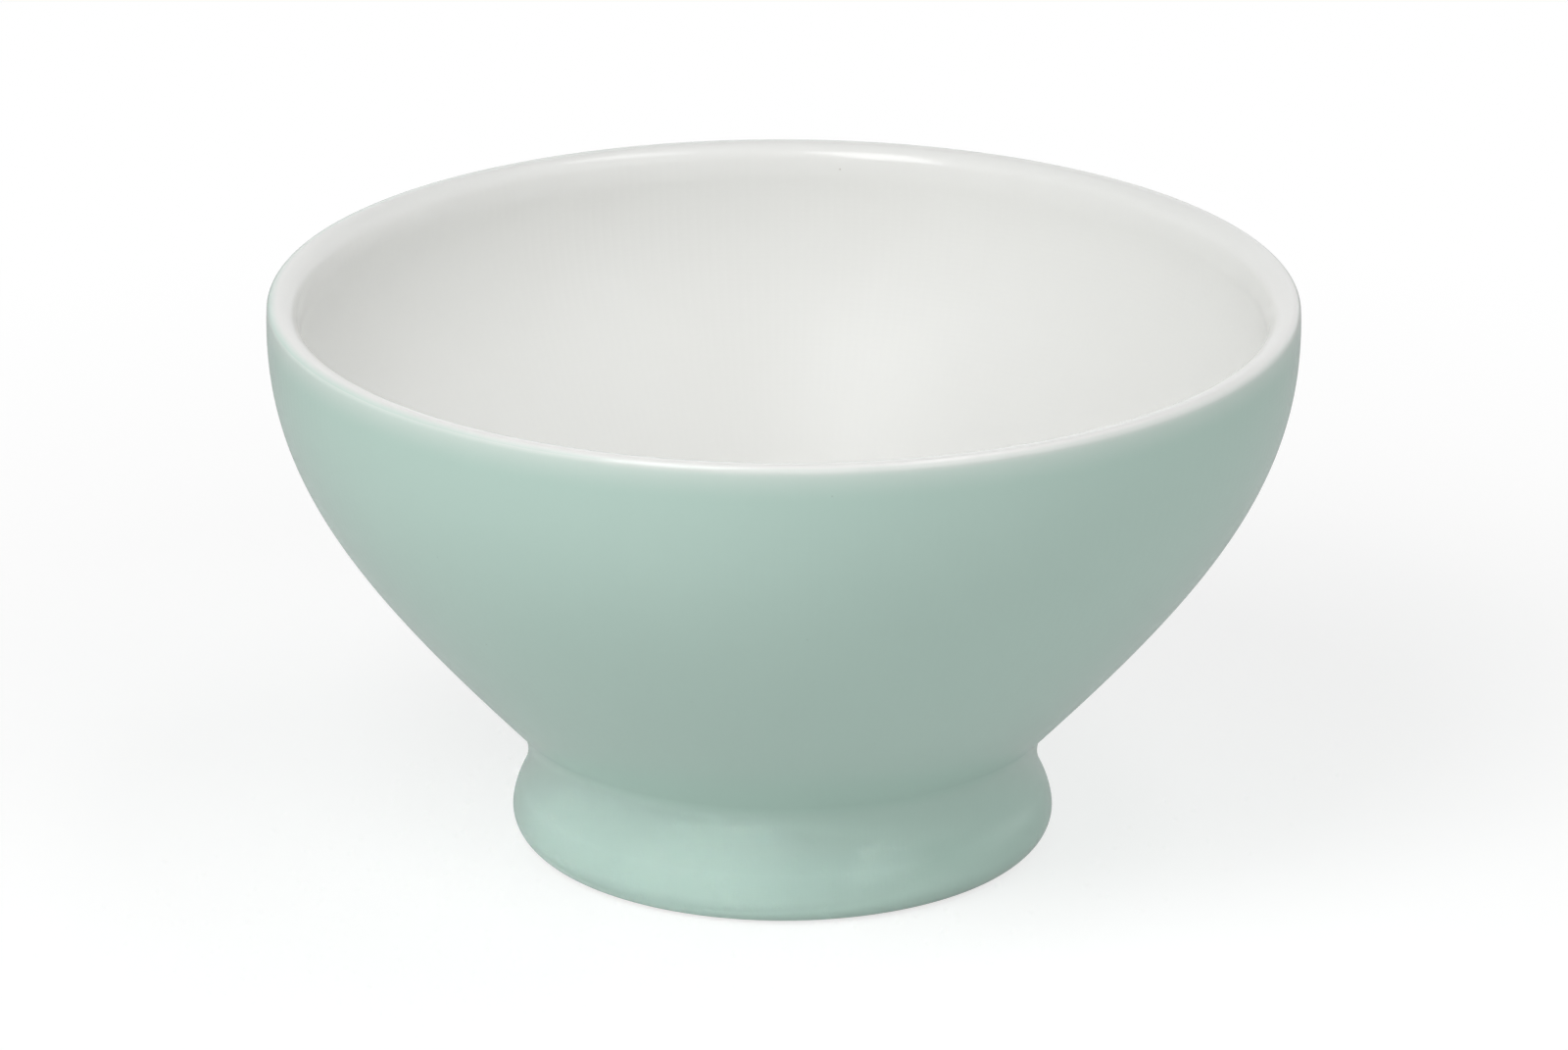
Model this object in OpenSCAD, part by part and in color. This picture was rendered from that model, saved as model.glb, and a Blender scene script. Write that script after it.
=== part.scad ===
// A footed latte bowl of glazed china: a deep round bowl on a flared, hollow foot ring.
// Every piece is turned about the Z axis, so each one is a closed outline of radius and height.
// The origin is the middle of the ring that the bowl stands on, and +Z is up.
// Lengths are in millimetres and angles in degrees. Sizes are those of the glazed bowl,
// apart from those that say that they are of the bare china.

/* [Bowl] */
// Widest outside diameter, just under the lip
bowl_d = 140; // [120:0.5:160]
// Height from the table to the top of the lip
bowl_h = 77.5; // [66:0.5:90]
// Drop from the top of the lip to the widest circle
widest_drop = 3.9; // [3.4:0.1:6]
// Radius of the outside curve from the widest circle up to the lip
shoulder_r = 44; // [34:0.5:54]
// Lean of the side, off upright, where it runs into the hollow of the waist
side_lean = 43; // [38:0.5:49]
// Fullness of the side below its widest circle, from 0, none, to 1, full
upper_share = 0.84; // [0.6:0.01:0.96]
// Fullness of the side above the waist, from 0, none, to 1, full
lower_share = 0.72; // [0.5:0.01:0.9]

/* [Wall and floor] */
// Radius of the lip's round, outside its top
lip_r = 1.15; // [0.9:0.05:1.6]
// Radius of the wider round by which the lip rolls into the bowl
roll_r = 3; // [2:0.1:3.6]
// Radius of the slow curve that eases that round into the wall
ease_r = 10; // [6:0.5:16]
// Angle above the level at which the round's face looks where the slow curve takes over
ease_turn = 18; // [8:1:26]
// Thickness that the wall has grown to at the lower end of the side
wall_t = 4.6; // [3.8:0.1:5.6]
// Thickness of the floor in the middle, with both coats
floor_t = 5.2; // [4:0.1:6.5]
// Radius of the inside round between the wall and the floor
floor_round_r = 14; // [10:0.5:20]
// Radius of the shallow inside dish of the floor
floor_dish_r = 260; // [150:5:400]

/* [Foot] */
// Diameter of the waist, the narrowest circle between the bowl and the foot
waist_d = 70.5; // [60:0.1:80]
// Height of the waist above the table
waist_h = 11.2; // [9.6:0.1:13.5]
// Radius of the hollow curve round the waist
hollow_r = 9.2; // [7.5:0.1:12]
// How far the foot's widest circle stands out past the waist
foot_flare = 2.25; // [1.6:0.05:3]
// Radius of the outside curve of the foot
flare_r = 10.2; // [8.5:0.1:12]
// Radius of the outside edge of the bare china at the table
base_round_r = 3.1; // [2:0.1:4]
// Width of the flat, bare ring that the bowl stands on
ring_w = 2.2; // [1.5:0.1:3.5]
// Radius of the inside edge of that ring
ring_round_r = 1; // [0.6:0.1:1.6]
// Lean of the wall of the hollow inside the foot, which is wider at the table
well_draft = 8; // [3:0.5:15]
// How far the middle of the bowl's china underside hangs below its seat for the foot
under_drop = 1.2; // [0.4:0.1:2]

/* [Joint] */
// Thickness of the slip between the bowl and the foot, at the waist
slip_t = 0.4; // [0.2:0.05:0.8]
// Radius of the inside hollow between the foot and the bowl's underside, over the glaze
well_fillet_r = 2; // [1:0.1:3]

/* [Glaze] */
// Thickness of the glass coats
glaze_t = 0.25; // [0.15:0.01:0.4]
// Angle above the level, on the lip's round, at which the mint coat meets the white one
coat_edge_turn = 32; // [12:1:75]
// Angle below the level, on the round of the foot's edge, at which the mint coat stops
coat_end_turn = 52; // [30:1:58]

/* [Hidden] */

$fn = 180;
// Largest turn between two points of a wide curve, of a middling one and of a tight one
wide_step = 1.5;
middle_step = 3;
tight_step = 9;
// Steps that a side of the bowl is drawn in
bend_points = 36;
// Directions
right_turn = 90;
half_turn = 180;

china_colour = [0.93, 0.92, 0.89];
slip_colour = [0.85, 0.83, 0.78];
mint_colour = [0.70, 0.80, 0.76];
white_colour = [0.90, 0.91, 0.90];

// Point at the angle a and the distance r from c
function polar(c, r, a) = c + r * [cos(a), sin(a)];

// Angle of the way from p to q
function heading(p, q) = atan2(q[1] - p[1], q[0] - p[0]);

// Point on the way from p at the angle a that lies at the distance r from c: side -1 gives the first one
// and side 1 the last one
function reach(p, a, c, r, side) =
    let (
        ahead = [cos(a), sin(a)],
        back = (p - c) * ahead
    )
    p + (side * sqrt(back * back - (p - c) * (p - c) + r * r) - back) * ahead;

// Points of the curve of radius r about c from the angle a to the angle b
function curve(c, r, a, b, step) =
    let (count = max(1, ceil(abs(b - a) / step)))
    [for (i = [0:count]) polar(c, r, a + (b - a) * i / count)];

// Cubic curve from a to d that sets out towards b and comes in from c
function bend(a, b, c, d) =
    [for (i = [0:bend_points])
        let (t = i / bend_points, s = 1 - t)
        s * s * s * a + 3 * s * s * t * b + 3 * s * t * t * c + t * t * t * d];

// One line through stretches that each start where the one before ends
function chain(stretches) =
    [for (i = [0:len(stretches) - 1], j = [(i == 0 ? 0 : 1):len(stretches[i]) - 1]) stretches[i][j]];

function reversed(line) = [for (i = [len(line) - 1:-1:0]) line[i]];

// Outside of the bowl: the lip, the shoulder and the hollow of the waist turn about centres, and the side
// between the widest circle and the hollow leaves both without a break.
widest_h = bowl_h - widest_drop;
shoulder_c = [bowl_d / 2 - shoulder_r, widest_h];
lip_turn = asin((widest_drop - lip_r) / (shoulder_r - lip_r));
lip_c = polar(shoulder_c, shoulder_r - lip_r, lip_turn);
roll_c = [lip_c[0], bowl_h - roll_r];
ease_c = polar(roll_c, ease_r - roll_r, -ease_turn);
waist_c = [waist_d / 2 + hollow_r, waist_h];
side_turn = half_turn - side_lean;

// Outside of the foot, from the hollow of the waist to the edge at the table
flare_turn = acos(1 - foot_flare / (flare_r + hollow_r));
flare_c = polar(waist_c, flare_r + hollow_r, half_turn + flare_turn);
base_reach = flare_r - glaze_t - base_round_r;
base_c = [
    flare_c[0] + sqrt(base_reach * base_reach - pow(flare_c[1] - base_round_r, 2)),
    base_round_r
];
base_turn = heading(flare_c, base_c);

// Seat of the bowl and top of the foot, with the slip between them at the waist
seat_h = waist_h + slip_t / 2;
foot_top_h = waist_h - slip_t / 2;
seam_turn = asin((seat_h - waist_h) / (hollow_r + glaze_t));

// Hollow under the bowl: its wall leans in from the ring, and its ceiling is the bowl's underside
ring_c = [base_c[0] - ring_w, ring_round_r];
well_turn = well_draft - half_turn;
well_up_turn = right_turn + well_draft;
well_start = polar(ring_c, ring_round_r, well_turn);
well_top = well_wall_at(foot_top_h);
under_edge = well_wall_at(seat_h);
under_r = (under_edge[0] * under_edge[0] + under_drop * under_drop) / (2 * under_drop);
under_c = [0, seat_h - under_drop + under_r];
well_round_r = well_fillet_r + glaze_t;
well_c = reach(
    polar(well_start, well_round_r, well_turn), well_up_turn, under_c, under_r + well_round_r, -1
);
well_touch = polar(well_c, well_round_r, well_turn + half_turn);
under_turn = heading(under_c, well_c);

// Inside of the bowl: the round of the floor touches the dish and the wall's inner face
floor_h = seat_h - under_drop - glaze_t + floor_t;
floor_c = [0, floor_h + floor_dish_r];
floor_round_c = reach(
    polar(waist_c, hollow_r + wall_t + floor_round_r, side_turn),
    -right_turn - side_lean,
    floor_c,
    floor_dish_r - floor_round_r,
    1
);
floor_turn = heading(floor_c, floor_round_c);

// Point of the leaning wall of the hollow at the height h
function well_wall_at(h) = [well_start[0] - (h - well_start[1]) * tan(well_draft), h];

// In the lines below, coat is the thickness over the bare china: 0 gives the china's face,
// and glaze_t gives the face of the glaze.

// The lip in two stretches, outwards and inwards from the edge of the mint coat
function mint_lip(coat) = curve(lip_c, lip_r - glaze_t + coat, coat_edge_turn, lip_turn, tight_step);
function white_lip(coat) =
    let (skin = glaze_t - coat)
    chain([
        curve(lip_c, lip_r - skin, coat_edge_turn, right_turn, tight_step),
        curve(roll_c, roll_r - skin, right_turn, half_turn - ease_turn, tight_step),
        curve(ease_c, ease_r - skin, half_turn - ease_turn, half_turn, middle_step)
    ]);

// Side of the bowl from the point top, which it leaves upright, down to the point low, which it reaches
// with the lean of the side
function side_line(top, low) =
    let (corner = [top[0], low[1] + (top[0] - low[0]) / tan(side_lean)])
    bend(top, top + upper_share * (corner - top), low + lower_share * (corner - low), low);

// Outside of the bowl from the lip down to the hollow of the waist
function bowl_line(coat) =
    let (depth = glaze_t - coat)
    chain([
        curve(shoulder_c, shoulder_r - depth, lip_turn, 0, middle_step),
        side_line(polar(shoulder_c, shoulder_r - depth, 0), polar(waist_c, hollow_r + depth, side_turn))
    ]);

// Hollow of the waist between two angles, downwards
function hollow_line(coat, from, to) = curve(waist_c, hollow_r + glaze_t - coat, from, to, middle_step);

// The hollow's three stretches: on the bowl, on the slip and on the foot
function bowl_hollow(coat) = hollow_line(coat, side_turn, half_turn - seam_turn);
function slip_hollow(coat) = hollow_line(coat, half_turn - seam_turn, half_turn + seam_turn);
function foot_hollow(coat) = hollow_line(coat, half_turn + seam_turn, half_turn + flare_turn);

// Outside of the foot below the hollow, down to the end of the mint coat
function foot_line(coat) =
    chain([
        curve(flare_c, flare_r - glaze_t + coat, flare_turn, base_turn, middle_step),
        curve(base_c, base_round_r + coat, base_turn, -coat_end_turn, tight_step)
    ]);

// Mint coat's line from the lip to its end above the table
function outside_line(coat) =
    chain([
        mint_lip(coat),
        bowl_line(coat),
        bowl_hollow(coat),
        slip_hollow(coat),
        foot_hollow(coat),
        foot_line(coat)
    ]);

// White coat's line from the lip down the inside to the middle of the floor
function inside_line(coat) =
    let (skin = glaze_t - coat)
    chain([
        white_lip(coat),
        side_line(
            polar(ease_c, ease_r - skin, half_turn), polar(floor_round_c, floor_round_r + skin, -side_lean)
        ),
        curve(floor_round_c, floor_round_r + skin, -side_lean, floor_turn, middle_step),
        curve(floor_c, floor_dish_r + skin, floor_turn, -right_turn, wide_step)
    ]);

// Hollow under the bowl: its round corner, its ceiling inside the corner, and the whole line up from
// the inside edge of the bare ring
function well_corner(coat) =
    curve(well_c, well_round_r - coat, well_turn + half_turn, under_turn + half_turn, tight_step);
function ceiling(coat) = curve(under_c, under_r + coat, under_turn, -right_turn, wide_step);
function well_line(coat) =
    chain([
        [polar(well_start, coat, well_turn), polar(well_touch, coat, well_turn)],
        well_corner(coat),
        ceiling(coat)
    ]);

// Stretch of the underside that rests on the slip
slip_ceiling = curve(under_c, under_r, heading(under_c, under_edge), under_turn, wide_step);

// Solid turned from a closed outline
module turned(outline) {
    rotate_extrude() polygon(outline);
}

// Glass coat between the china's face and the glaze's face
module coat_between(china_line, glaze_line) {
    turned(concat(china_line, reversed(glaze_line)));
}

module bowl_wall() {
    color(china_colour) turned(chain([
        reversed(ceiling(0)),
        reversed(slip_ceiling),
        [under_edge, polar(waist_c, hollow_r + glaze_t, half_turn - seam_turn)],
        reversed(bowl_hollow(0)),
        reversed(bowl_line(0)),
        reversed(mint_lip(0)),
        inside_line(0)
    ]));
}

module foot_ring() {
    color(china_colour) turned(chain([
        foot_hollow(0),
        foot_line(0),
        curve(base_c, base_round_r, -coat_end_turn, -right_turn, tight_step),
        [polar(base_c, base_round_r, -right_turn), polar(ring_c, ring_round_r, -right_turn)],
        curve(ring_c, ring_round_r, -right_turn, well_turn, tight_step),
        [well_start, well_touch, well_top]
    ]));
}

module joint_slip() {
    color(slip_colour) turned(chain([
        [polar(waist_c, hollow_r + glaze_t, half_turn - seam_turn), under_edge],
        slip_ceiling,
        reversed(well_corner(0)),
        [well_touch, well_top, polar(waist_c, hollow_r + glaze_t, half_turn + seam_turn)],
        reversed(slip_hollow(0))
    ]));
}

module outer_glaze() {
    color(mint_colour) coat_between(outside_line(0), outside_line(glaze_t));
}

module inner_glaze() {
    color(white_colour) coat_between(inside_line(0), inside_line(glaze_t));
}

module well_glaze() {
    color(mint_colour) coat_between(well_line(0), well_line(glaze_t));
}

bowl_wall();
foot_ring();
joint_slip();
outer_glaze();
inner_glaze();
well_glaze();
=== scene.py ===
"""A footed latte bowl of glazed china: mint glaze outside, white glaze inside, on a hollow foot ring.

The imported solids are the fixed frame. The three glass coats and the bare foot are turned again here in finer
steps, with a bead at the end of the mint coat and the finishes of real glazed ware.
Sizes are in millimetres and degrees unless a name or comment says otherwise, and meshes are in metres.
"""

import logging
import math
from dataclasses import dataclass, field
from enum import Enum
from typing import Any

import bpy
from mathutils import Matrix, Vector


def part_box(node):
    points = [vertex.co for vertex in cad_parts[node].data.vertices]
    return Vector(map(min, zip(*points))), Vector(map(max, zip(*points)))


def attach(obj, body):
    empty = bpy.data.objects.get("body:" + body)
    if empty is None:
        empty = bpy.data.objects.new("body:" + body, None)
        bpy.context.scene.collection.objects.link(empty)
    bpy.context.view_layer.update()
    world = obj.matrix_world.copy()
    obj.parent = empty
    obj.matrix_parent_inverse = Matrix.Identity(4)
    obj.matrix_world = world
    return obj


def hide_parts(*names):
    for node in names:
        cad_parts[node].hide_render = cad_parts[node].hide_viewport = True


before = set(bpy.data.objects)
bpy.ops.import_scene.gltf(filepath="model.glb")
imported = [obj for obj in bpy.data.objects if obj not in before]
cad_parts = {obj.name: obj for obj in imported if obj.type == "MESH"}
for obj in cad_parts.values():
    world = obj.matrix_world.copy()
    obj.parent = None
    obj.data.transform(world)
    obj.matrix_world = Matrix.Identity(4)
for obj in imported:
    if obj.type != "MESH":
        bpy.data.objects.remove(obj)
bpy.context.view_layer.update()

LOG = logging.getLogger("latte_bowl")
MM = 0.001
RIGHT_TURN = 90.0
HALF_TURN = 180.0
BODY = "root"
# Attribute of a coat's points: the way along the glaze from the line where the two coats meet on the lip.
EDGE_RUN = "edge_run"
NOISE_MIDDLE = 0.5

Outline = list[Vector]
Colour = tuple[float, float, float, float]


class Slot(Enum):
    """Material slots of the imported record."""

    CHINA = "china"
    SLIP = "slip"
    MINT = "mint_glaze"
    WHITE = "white_glaze"


def polar(centre: Vector, radius: float, angle: float) -> Vector:
    """Point of the turning plane at an angle and a distance from a centre.

    Args:
        centre: Radius and height of the centre.
        radius: Distance from the centre.
        angle: Angle above the level, outwards, in degrees.

    Returns:
        Radius and height of the point.
    """
    turn = math.radians(angle)
    return centre + radius * Vector((math.cos(turn), math.sin(turn)))


def heading(start: Vector, end: Vector) -> float:
    """Angle of the way from one point to another.

    Args:
        start: Where the way starts.
        end: Where it ends.

    Returns:
        The angle above the level, outwards, in degrees.
    """
    way = end - start
    return math.degrees(math.atan2(way.y, way.x))


def reach(start: Vector, angle: float, centre: Vector, radius: float, side: int) -> Vector:
    """Point on a way that lies at a distance from a centre.

    Args:
        start: Where the way starts.
        angle: Angle of the way, in degrees.
        centre: The centre.
        radius: The distance from it.
        side: -1 for the first such point and 1 for the last one.

    Returns:
        Radius and height of the point.
    """
    ahead = polar(Vector((0.0, 0.0)), 1.0, angle)
    back = (start - centre).dot(ahead)
    root = math.sqrt(back**2 - (start - centre).length_squared + radius**2)
    return start + (side * root - back) * ahead


def curve(centre: Vector, radius: float, first: float, last: float, step: float) -> Outline:
    """Points of a round stretch.

    Args:
        centre: Radius and height of its centre.
        radius: Its radius.
        first: Angle of its first point, in degrees.
        last: Angle of its last point.
        step: Largest turn between two points.

    Returns:
        The points, both ends included.
    """
    count = max(1, math.ceil(abs(last - first) / step))
    return [polar(centre, radius, first + (last - first) * i / count) for i in range(count + 1)]


def bend(first: Vector, ahead: Vector, behind: Vector, last: Vector, count: int) -> Outline:
    """Points of a cubic curve.

    Args:
        first: Its first point.
        ahead: The point that it sets out towards.
        behind: The point that it comes in from.
        last: Its last point.
        count: Number of steps.

    Returns:
        The points, both ends included.
    """
    points = []
    for i in range(count + 1):
        t = i / count
        s = 1.0 - t
        points.append(s**3 * first + 3 * s * s * t * ahead + 3 * s * t * t * behind + t**3 * last)
    return points


def chain(*stretches: Outline) -> Outline:
    """One line through stretches that each start where the one before ends.

    Args:
        stretches: The stretches, in order.

    Returns:
        The points, with each shared point once.
    """
    line = list(stretches[0])
    for stretch in stretches[1:]:
        line += stretch[1:]
    return line


@dataclass
class BowlForm:
    """Outline of the whole bowl. The overall size comes from the frame and the rest are its own sizes.

    In the names, _r is a radius, _c a centre, _t a thickness, _h a height and _turn an angle above the level.
    A method's coat is the thickness over the bare china: 0 on the china's face and glaze_t on the glaze's.
    """

    widest_r: float
    height: float
    widest_drop: float = 3.9
    shoulder_r: float = 44.0
    side_lean: float = 43.0
    upper_share: float = 0.84
    lower_share: float = 0.72
    lip_r: float = 1.15
    roll_r: float = 3.0
    ease_r: float = 10.0
    ease_turn: float = 18.0
    wall_t: float = 4.6
    floor_t: float = 5.2
    floor_round_r: float = 14.0
    floor_dish_r: float = 260.0
    waist_r: float = 35.25
    waist_h: float = 11.2
    hollow_r: float = 9.2
    foot_flare: float = 2.25
    flare_r: float = 10.2
    base_round_r: float = 3.1
    ring_w: float = 2.2
    ring_round_r: float = 1.0
    well_draft: float = 8.0
    under_drop: float = 1.2
    slip_t: float = 0.4
    well_fillet_r: float = 2.0
    glaze_t: float = 0.25
    coat_edge_turn: float = 32.0
    coat_end_turn: float = 52.0
    wide_step: float = 0.5
    middle_step: float = 2.0
    tight_step: float = 2.0
    bend_points: int = 60

    def __post_init__(self) -> None:
        """Works out the centres and angles that the lines share."""
        self.widest_h = self.height - self.widest_drop
        self.shoulder_c = Vector((self.widest_r - self.shoulder_r, self.widest_h))
        rise = (self.widest_drop - self.lip_r) / (self.shoulder_r - self.lip_r)
        self.lip_turn = math.degrees(math.asin(rise))
        self.lip_c = polar(self.shoulder_c, self.shoulder_r - self.lip_r, self.lip_turn)
        self.roll_c = Vector((self.lip_c.x, self.height - self.roll_r))
        self.ease_c = polar(self.roll_c, self.ease_r - self.roll_r, -self.ease_turn)
        self.waist_c = Vector((self.waist_r + self.hollow_r, self.waist_h))
        self.side_turn = HALF_TURN - self.side_lean
        self._place_foot()
        self._place_well()
        self._place_floor()

    def _place_foot(self) -> None:
        """Works out the outside of the foot."""
        self.flare_turn = math.degrees(math.acos(1 - self.foot_flare / (self.flare_r + self.hollow_r)))
        self.flare_c = polar(self.waist_c, self.flare_r + self.hollow_r, HALF_TURN + self.flare_turn)
        base_reach = self.flare_r - self.glaze_t - self.base_round_r
        drop = self.flare_c.y - self.base_round_r
        self.base_c = Vector((self.flare_c.x + math.sqrt(base_reach**2 - drop**2), self.base_round_r))
        self.base_turn = heading(self.flare_c, self.base_c)

    def _place_well(self) -> None:
        """Works out the hollow inside the foot."""
        self.seat_h = self.waist_h + self.slip_t / 2
        self.foot_top_h = self.waist_h - self.slip_t / 2
        china_r = self.hollow_r + self.glaze_t
        self.seam_turn = math.degrees(math.asin((self.seat_h - self.waist_h) / china_r))
        self.ring_c = Vector((self.base_c.x - self.ring_w, self.ring_round_r))
        self.well_turn = self.well_draft - HALF_TURN
        self.well_start = polar(self.ring_c, self.ring_round_r, self.well_turn)
        edge_r = self.well_wall_at(self.seat_h).x
        self.under_r = (edge_r**2 + self.under_drop**2) / (2 * self.under_drop)
        self.under_c = Vector((0.0, self.seat_h - self.under_drop + self.under_r))
        self.well_round_r = self.well_fillet_r + self.glaze_t
        start = polar(self.well_start, self.well_round_r, self.well_turn)
        up = RIGHT_TURN + self.well_draft
        self.well_c = reach(start, up, self.under_c, self.under_r + self.well_round_r, -1)
        self.well_touch = polar(self.well_c, self.well_round_r, self.well_turn + HALF_TURN)
        self.under_turn = heading(self.under_c, self.well_c)

    def _place_floor(self) -> None:
        """Works out the inside floor and its round."""
        floor_h = self.seat_h - self.under_drop - self.glaze_t + self.floor_t
        self.floor_c = Vector((0.0, floor_h + self.floor_dish_r))
        start = polar(self.waist_c, self.hollow_r + self.wall_t + self.floor_round_r, self.side_turn)
        down = -RIGHT_TURN - self.side_lean
        self.floor_round_c = reach(start, down, self.floor_c, self.floor_dish_r - self.floor_round_r, 1)
        self.floor_turn = heading(self.floor_c, self.floor_round_c)

    def well_wall_at(self, height: float) -> Vector:
        """Point of the leaning wall of the foot's hollow at a height."""
        lean = math.tan(math.radians(self.well_draft))
        return Vector((self.well_start.x - (height - self.well_start.y) * lean, height))

    def mint_lip(self, coat: float) -> Outline:
        """Lip's round outwards from the edge of the mint coat."""
        radius = self.lip_r - self.glaze_t + coat
        return curve(self.lip_c, radius, self.coat_edge_turn, self.lip_turn, self.tight_step)

    def white_lip(self, coat: float) -> Outline:
        """Lip's round inwards from the edge of the mint coat, down to the top of the inside wall.

        Args:
            coat: Thickness over the bare china.

        Returns:
            The points.
        """
        skin = self.glaze_t - coat
        last = HALF_TURN - self.ease_turn
        return chain(
            curve(self.lip_c, self.lip_r - skin, self.coat_edge_turn, RIGHT_TURN, self.tight_step),
            curve(self.roll_c, self.roll_r - skin, RIGHT_TURN, last, self.tight_step),
            curve(self.ease_c, self.ease_r - skin, last, HALF_TURN, self.tight_step),
        )

    def side_line(self, top: Vector, low: Vector) -> Outline:
        """Side of the bowl down to its low end.

        Args:
            top: Its top, which it leaves upright.
            low: The low end, which it reaches with its lean.

        Returns:
            The points, downwards.
        """
        rise = (top.x - low.x) / math.tan(math.radians(self.side_lean))
        corner = Vector((top.x, low.y + rise))
        ahead = top.lerp(corner, self.upper_share)
        behind = low.lerp(corner, self.lower_share)
        return bend(top, ahead, behind, low, self.bend_points)

    def hollow_line(self, coat: float, first: float, last: float) -> Outline:
        """Hollow of the waist between two angles."""
        return curve(self.waist_c, self.hollow_r + self.glaze_t - coat, first, last, self.middle_step)

    def foot_line(self, coat: float) -> Outline:
        """Outside of the foot below the hollow, down to the end of the mint coat.

        Args:
            coat: Thickness over the bare china.

        Returns:
            The points.
        """
        flare = self.flare_r - self.glaze_t + coat
        base = self.base_round_r + coat
        return chain(
            curve(self.flare_c, flare, self.flare_turn, self.base_turn, self.middle_step),
            curve(self.base_c, base, self.base_turn, -self.coat_end_turn, self.tight_step),
        )

    def outside_line(self, coat: float) -> Outline:
        """Line of the mint coat from the lip to its end above the table.

        Args:
            coat: Thickness over the bare china.

        Returns:
            The points.
        """
        depth = self.glaze_t - coat
        high = polar(self.shoulder_c, self.shoulder_r - depth, 0.0)
        low = polar(self.waist_c, self.hollow_r + depth, self.side_turn)
        return chain(
            self.mint_lip(coat),
            curve(self.shoulder_c, self.shoulder_r - depth, self.lip_turn, 0.0, self.wide_step),
            self.side_line(high, low),
            self.hollow_line(coat, self.side_turn, HALF_TURN + self.flare_turn),
            self.foot_line(coat),
        )

    def inside_line(self, coat: float) -> Outline:
        """Line of the white coat from the lip to the middle of the floor.

        Args:
            coat: Thickness over the bare china.

        Returns:
            The points.
        """
        skin = self.glaze_t - coat
        round_r = self.floor_round_r + skin
        dish_r = self.floor_dish_r + skin
        high = polar(self.ease_c, self.ease_r - skin, HALF_TURN)
        low = polar(self.floor_round_c, round_r, -self.side_lean)
        return chain(
            self.white_lip(coat),
            self.side_line(high, low),
            curve(self.floor_round_c, round_r, -self.side_lean, self.floor_turn, self.middle_step),
            curve(self.floor_c, dish_r, self.floor_turn, -RIGHT_TURN, self.wide_step),
        )

    def well_line(self, coat: float) -> Outline:
        """Line of the coat in the foot's hollow, from the bare ring up to the middle of the ceiling.

        Args:
            coat: Thickness over the bare china.

        Returns:
            The points.
        """
        wall = [polar(self.well_start, coat, self.well_turn), polar(self.well_touch, coat, self.well_turn)]
        first = self.well_turn + HALF_TURN
        last = self.under_turn + HALF_TURN
        return chain(
            wall,
            curve(self.well_c, self.well_round_r - coat, first, last, self.tight_step),
            curve(self.under_c, self.under_r + coat, self.under_turn, -RIGHT_TURN, self.wide_step),
        )

    def foot_outline(self) -> Outline:
        """Closed outline of the bare china foot under its coats.

        Returns:
            The points, from the seam with the bowl down the outside and up the hollow.
        """
        waist = self.hollow_line(0.0, HALF_TURN + self.seam_turn, HALF_TURN + self.flare_turn)
        base = curve(self.base_c, self.base_round_r, -self.coat_end_turn, -RIGHT_TURN, self.tight_step)
        ring = curve(self.ring_c, self.ring_round_r, -RIGHT_TURN, self.well_turn, self.tight_step)
        top = self.well_wall_at(self.foot_top_h)
        return chain(
            waist,
            self.foot_line(0.0),
            base,
            [base[-1], ring[0]],
            ring,
            [self.well_start, self.well_touch, top],
            [top, waist[0]],
        )


class Graph:
    """Node tree with one way to add a node, and terms that Python's operators work on."""

    def __init__(self, tree: bpy.types.NodeTree) -> None:
        """Wraps a tree.

        Args:
            tree: A shader or geometry node tree.
        """
        self.tree = tree

    def add(self, kind: str, settings: dict[str, Any] | None = None, **values: Any) -> bpy.types.Node:
        """Adds one node.

        Args:
            kind: Blender's name of the node's type.
            settings: Properties that are set before the sockets.
            values: Values, terms or sockets for the inputs, by name with _ for a space, or by number as i0.

        Returns:
            The node.
        """
        node = self.tree.nodes.new(kind)
        for name, value in (settings or {}).items():
            setattr(node, name, value)
        for name, value in values.items():
            self.feed(self.socket_of(node, name), value)
        return node

    @staticmethod
    def socket_of(node: bpy.types.Node, name: str) -> bpy.types.NodeSocket:
        """Input of a node that is live.

        Args:
            node: The node.
            name: The input's name with _ for a space, or its number as i0.

        Returns:
            The input.
        """
        if name[0] == "i" and name[1:].isdigit():
            return node.inputs[int(name[1:])]
        wanted = name.replace("_", " ").lower()
        return next(s for s in node.inputs if s.name.lower() == wanted and s.enabled)

    def feed(self, socket: bpy.types.NodeSocket, value: Any) -> None:
        """Links a term or a socket to an input, or writes a value on it.

        Args:
            socket: The input.
            value: A term, an output socket or a plain value.
        """
        if isinstance(value, Term):
            value = value.socket
        if isinstance(value, bpy.types.NodeSocket):
            self.tree.links.new(value, socket)
        else:
            socket.default_value = value

    def term(self, node: bpy.types.Node, output: str | int = 0) -> "Term":
        """An output of a node as a term."""
        return Term(self, node.outputs[output])

    def math(self, operation: str, *values: Any, clamp: bool = False) -> "Term":
        """Adds a Math node.

        Args:
            operation: Blender's name of the operation.
            values: Its inputs in order.
            clamp: Whether the result is kept from 0 to 1.

        Returns:
            The result.
        """
        settings = {"operation": operation, "use_clamp": clamp}
        inputs = {f"i{i}": value for i, value in enumerate(values)}
        return self.term(self.add("ShaderNodeMath", settings, **inputs))

    def between(self, value: Any, low: float, high: float) -> "Term":
        """Smooth step of a value, 0 up to low and 1 from high.

        Args:
            value: The value.
            low: Where the step starts.
            high: Where it ends.

        Returns:
            The step, from 0 to 1.
        """
        settings = {"interpolation_type": "SMOOTHSTEP", "clamp": True}
        node = self.add("ShaderNodeMapRange", settings, Value=value, From_Min=low, From_Max=high)
        return self.term(node)


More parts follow.
